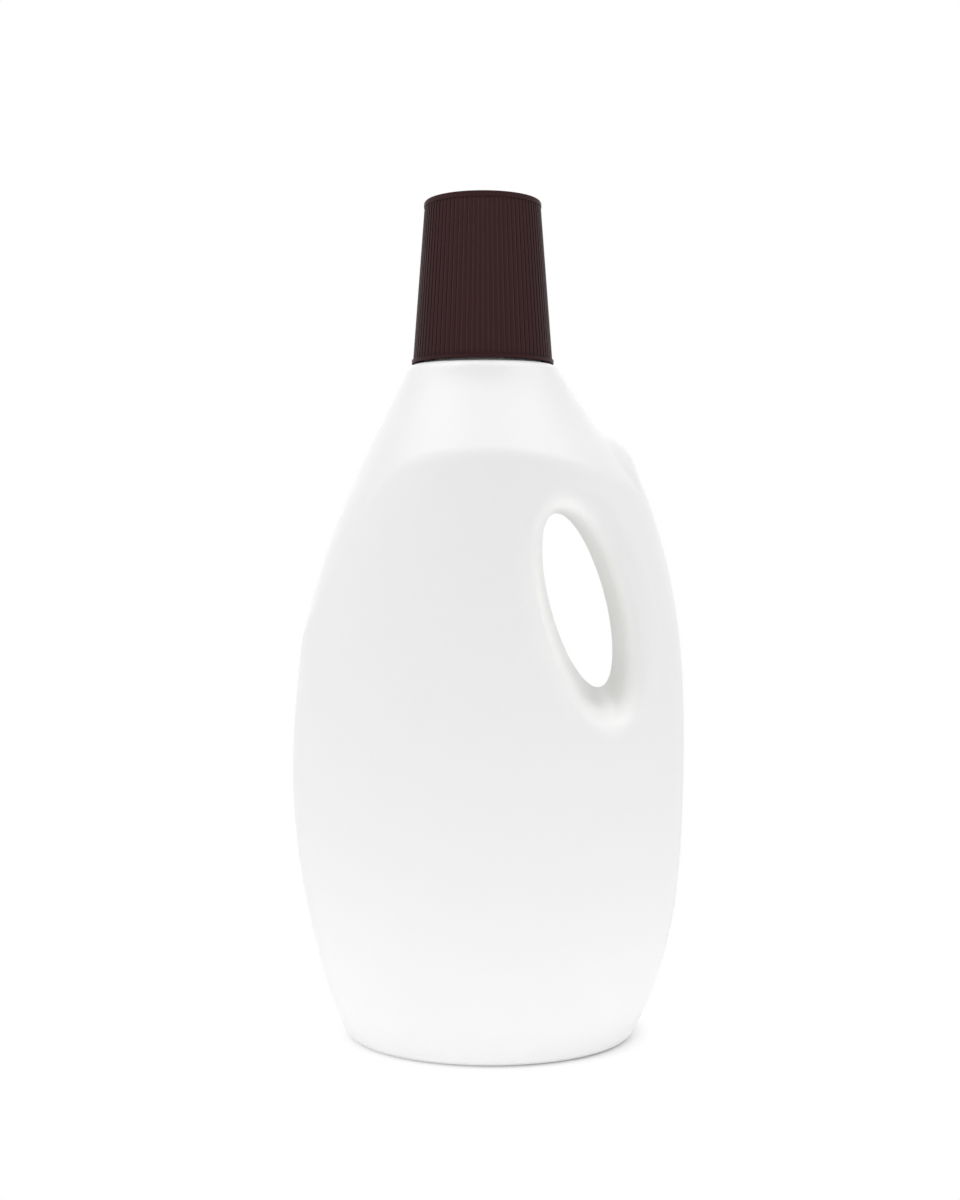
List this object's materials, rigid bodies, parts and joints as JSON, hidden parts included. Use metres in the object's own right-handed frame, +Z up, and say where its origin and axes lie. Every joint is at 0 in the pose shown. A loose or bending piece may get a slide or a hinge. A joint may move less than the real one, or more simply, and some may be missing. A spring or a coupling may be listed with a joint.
{
  "type": "detergent bottle",
  "caption": "Oval blow-moulded detergent bottle with a moulded-in through-handle, a drain-back pour spout and a ribbed measuring cap that lifts off.",
  "frame": {"origin": "middle of the body's width and depth, on the surface the bottle stands on", "axes": "+Z up through the cap, +X towards the handle, -Y out of the front panel"},
  "size_m": [0.1461, 0.096, 0.31],
  "materials": {
    "bottle": "satin white polyethylene",
    "pour_spout": "natural soft polyethylene",
    "measuring_cap": "satin dark brown polypropylene"
  },
  "bodies": {
    "bottle": {"bottle": "bottle", "pour_spout": "pour_spout"},
    "cap": {"measuring_cap": "measuring_cap"}
  },
  "joints": [
    {"name": "cap_lift", "type": "slide", "parent": "bottle", "child": "cap", "axis": [0, 0, 1], "range_m": [0, 0.08]}
  ]
}
